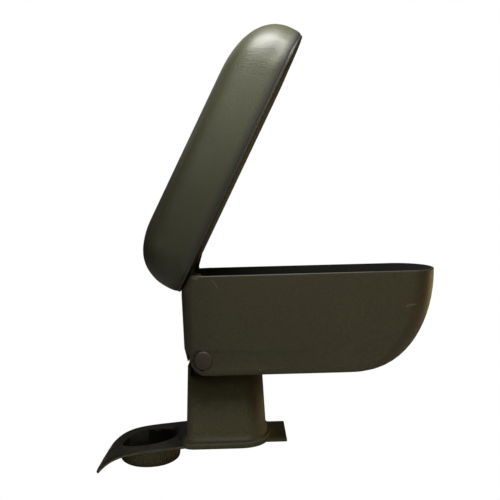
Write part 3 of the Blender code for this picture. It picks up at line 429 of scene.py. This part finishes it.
def on_picked(piece, kind, wanted, step):
    """Runs an edit-mode step on the vertices or polygons of a piece that are wanted."""
    in_edit_mode(piece, lambda: bpy.ops.mesh.select_all(action="DESELECT"))
    for item in getattr(piece.data, kind):
        item.select = wanted(item)
    in_edit_mode(piece, step)


def merge_points():
    bpy.ops.mesh.remove_doubles(threshold=MERGE_DISTANCE)


def finish_with(piece, kind, **settings):
    """Adds a modifier and applies it."""
    modifier = piece.modifiers.new(kind.lower(), kind)
    for key, setting in settings.items():
        setattr(modifier, key, setting)
    select_only(piece)
    bpy.ops.object.modifier_apply(modifier=modifier.name)


def copy_of(node, name):
    piece = bpy.data.objects.new(name, frame["nodes"][node].data.copy())
    bpy.context.scene.collection.objects.link(piece)
    piece.data.materials.clear()
    on_all(piece, merge_points)
    return piece


def dress(piece, material, body):
    piece.data.materials.append(material)
    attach(piece, body)


def smooth_twin(node, name, material, body, flat_sides=False, angle_deg=32.0):
    """A smooth-shaded copy that stands for a rigid node. Flat sides can stay flat up to their rounding."""
    piece = copy_of(node, name)
    select_only(piece)
    bpy.ops.object.shade_smooth_by_angle(angle=radians(angle_deg))
    if flat_sides:
        finish_with(piece, "WEIGHTED_NORMAL", keep_sharp=True)
    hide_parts(node)
    dress(piece, material, body)


def corners(piece):
    """The lowest and highest corners of a piece's mesh."""
    places = [vertex.co for vertex in piece.data.vertices]
    return [Vector(pick(place[axis] for place in places) for axis in range(3)) for pick in (min, max)]


def stretch_to(piece, low, high):
    """Stretches a piece's mesh until it just fills the box between two corners."""
    old_low, old_high = corners(piece)
    growth = [(high[axis] - low[axis]) / (old_high[axis] - old_low[axis]) for axis in range(3)]
    grow = Matrix.Diagonal((*growth, 1.0))
    piece.data.transform(Matrix.Translation(low) @ grow @ Matrix.Translation(-old_low))


def swell(piece):
    """Lets the skin swell over the foam like stretched cloth, held round its foot."""
    rest = [vertex.co.copy() for vertex in piece.data.vertices]
    foot = min(place.z for place in rest)
    held = piece.vertex_groups.new(name="held")
    held.add([i for i, place in enumerate(rest) if place.z < foot + HELD_HEIGHT], 1.0, "REPLACE")
    cloth = piece.modifiers.new("cloth", "CLOTH")
    cloth.settings.vertex_group_mass = "held"
    cloth.settings.use_pressure = True
    cloth.settings.uniform_pressure_force = SKIN_PRESSURE
    cloth.settings.effector_weights.gravity = 0.0
    cloth.point_cache.frame_end = SWELL_FRAMES
    for moment in range(1, SWELL_FRAMES + 1):
        bpy.context.scene.frame_set(moment)
    graph = bpy.context.evaluated_depsgraph_get()
    swollen = [vertex.co.copy() for vertex in piece.evaluated_get(graph).data.vertices]
    piece.modifiers.remove(cloth)
    piece.vertex_groups.remove(held)
    bpy.context.scene.frame_set(1)
    for vertex, start, end in zip(piece.data.vertices, rest, swollen):
        move = end - start
        vertex.co = start + move * min(1.0, SKIN_SWELL / max(move.length, 1e-9))


def lift_base(piece, height):
    """Lifts the flat base of a piece inside its rolled edge, which leaves a shallow bed for the tray."""
    base_top = corners(piece)[0].z + height / 2
    on_picked(piece, "polygons", lambda face: face.normal.z < -FLAT_NORMAL and face.center.z < base_top,
              lambda: bpy.ops.transform.translate(value=(0.0, 0.0, height)))


def build_skin(material):
    """The pad: a skin swollen over its foam, with a rolled edge that wraps the tray's."""
    skin = copy_of("pad_cover", "pad_skin")
    tray = copy_of("lid_tray", "tray_edge")
    for piece in (skin, tray):
        piece.data.transform(CLOSE_LID)
    on_picked(tray, "vertices", lambda point: point.co.z < TRAY_UNDER_Z - LEVEL_SLACK,
              lambda: bpy.ops.mesh.delete(type="VERT"))
    low, high = corners(tray)
    stretch_to(tray, low - SKIN_LIP, high + SKIN_LIP)
    select_only(skin)
    tray.select_set(True)
    bpy.ops.object.join()
    on_all(skin, bpy.ops.mesh.convex_hull)
    low, high = corners(skin)
    finish_with(skin, "REMESH", mode="VOXEL", voxel_size=SKIN_VOXEL)
    on_all(skin, lambda: bpy.ops.mesh.vertices_smooth(factor=0.5, repeat=3),
           lambda: bpy.ops.transform.shrink_fatten(value=-SKIN_TUCK))
    swell(skin)
    on_all(skin, lambda: bpy.ops.mesh.vertices_smooth(factor=0.5, repeat=4))
    finish_with(skin, "SUBSURF", levels=1, render_levels=1)
    stretch_to(skin, low + SKIN_SHORT, high)
    lift_base(skin, TRAY_TOP_Z - TRAY_UNDER_Z)
    skin.data.transform(OPEN_LID)
    select_only(skin)
    bpy.ops.object.shade_smooth()
    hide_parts("pad_cover", "pad_foam")
    dress(skin, material, "lid")


# Stage

def area_light(name, place, target, size, watts, tint, spread_deg):
    lamp = bpy.data.lights.new(name, "AREA")
    lamp.spread = radians(spread_deg)
    lamp.shape = "RECTANGLE"
    lamp.size, lamp.size_y = size
    lamp.energy = watts
    lamp.color = tint
    light = bpy.data.objects.new(name, lamp)
    bpy.context.scene.collection.objects.link(light)
    light.location = place
    light.rotation_euler = (Vector(target) - Vector(place)).to_track_quat("-Z", "Y").to_euler()


def white_to_camera(tree, plain, white_kind, surface):
    """Shows the camera a plain white instead of the world or floor that lights the object."""
    seen = tree.nodes.new("ShaderNodeLightPath")
    white = tree.nodes.new(white_kind)
    white.inputs["Color"].default_value = WHITE
    mix = tree.nodes.new("ShaderNodeMixShader")
    tree.links.new(seen.outputs["Is Camera Ray"], mix.inputs[0])
    tree.links.new(plain, mix.inputs[1])
    tree.links.new(white.outputs[0], mix.inputs[2])
    tree.links.new(mix.outputs[0], surface)


def build_world():
    """A dim warm light from all round."""
    world = bpy.data.worlds.new("studio")
    bpy.context.scene.world = world
    world.use_nodes = True
    tree = world.node_tree
    ambient = tree.nodes["Background"]
    ambient.inputs["Color"].default_value = (1.0, 0.82, 0.62, 1.0)
    ambient.inputs["Strength"].default_value = 0.05
    surface = tree.nodes["World Output"].inputs["Surface"]
    white_to_camera(tree, ambient.outputs[0], "ShaderNodeBackground", surface)


def build_floor():
    bpy.ops.mesh.primitive_plane_add(size=12.0, location=(0.0, 0.0, FLOOR_Z))
    floor = bpy.context.object
    floor.name = "floor"
    pale = bpy.data.materials.new("pale_floor")
    pale.use_nodes = True
    tree = pale.node_tree
    shader = tree.nodes["Principled BSDF"]
    shader.inputs["Base Color"].default_value = (0.55, 0.53, 0.50, 1.0)
    shader.inputs["Roughness"].default_value = 0.9
    surface = tree.nodes["Material Output"].inputs["Surface"]
    white_to_camera(tree, shader.outputs[0], "ShaderNodeEmission", surface)
    floor.data.materials.append(pale)


def build_camera():
    lens = bpy.data.cameras.new("camera")
    lens.sensor_width = 36.0
    lens.lens = lens.sensor_width * FOCAL_PIXELS / FRAME_PIXELS
    camera = bpy.data.objects.new("camera", lens)
    bpy.context.scene.collection.objects.link(camera)
    turn = Matrix.Rotation(CAMERA_YAW, 3, "Z") @ Matrix.Rotation(radians(90.0) + CAMERA_PITCH, 3, "X")
    camera.rotation_euler = (turn @ Matrix.Rotation(CAMERA_ROLL, 3, "Z")).to_euler()
    camera.location = CAMERA_PLACE
    bpy.context.scene.camera = camera


def main():
    bpy.context.scene.view_settings.view_transform = "Standard"
    box_plastic = plastic_look("box_plastic", colour(52, 49, 33), colour(60, 56, 38), box_marks, BIN_MIDDLE)
    post_plastic = plastic_look("post_plastic", colour(64, 62, 46), colour(71, 68, 51), plate_painted_shade,
                                ribs=cup_ribs, shine=0.25)
    cap_plastic = plastic_look("cap_plastic", colour(46, 39, 28), colour(52, 45, 33))
    tray_plastic = plastic_look("tray_plastic", colour(30, 29, 22), colour(36, 34, 26))
    build_skin(skin_look())
    smooth_twin("storage_box", "box_shell", box_plastic, "box", flat_sides=True)
    smooth_twin("pedestal", "post_and_plate", post_plastic, "pedestal")
    smooth_twin("lid_tray", "tray_panel", tray_plastic, "lid",
                flat_sides=True, angle_deg=20.0)
    smooth_twin("pivot_cap_near", "cap_near", cap_plastic, "box")
    smooth_twin("pivot_cap_far", "cap_far", cap_plastic, "box")
    steel = plain_look("plated_steel", (0.42, 0.42, 0.41, 1.0), 0.30, 1.0)
    dark_steel = plain_look("dark_steel", (0.10, 0.10, 0.10, 1.0), 0.35, 1.0)
    nylon = plain_look("nylon", (0.70, 0.68, 0.60, 1.0), 0.45)
    rubber = plain_look("rubber", (0.02, 0.02, 0.02, 1.0), 0.70)
    foam = plain_look("foam", (0.52, 0.48, 0.36, 1.0), 0.90, 0.0, 700.0, 0.0004)
    board = plain_look("fibre_board", (0.20, 0.14, 0.08, 1.0), 0.80, 0.0, 500.0, 0.0001)
    finishes = {
        "steel": steel,
        "screw_steel": dark_steel,
        "bearing_plastic": nylon,
        "buffer_rubber": rubber,
        "foam": foam,
        "board": board,
    }
    for row in frame["record"]["subparts"]:
        node = frame["nodes"][row["node"]]
        if row["material_slot"] in finishes:
            node.data.materials.clear()
            node.data.materials.append(finishes[row["material_slot"]])
    build_world()
    build_floor()
    for lamp in LAMPS:
        area_light(*lamp)
    build_camera()


main()
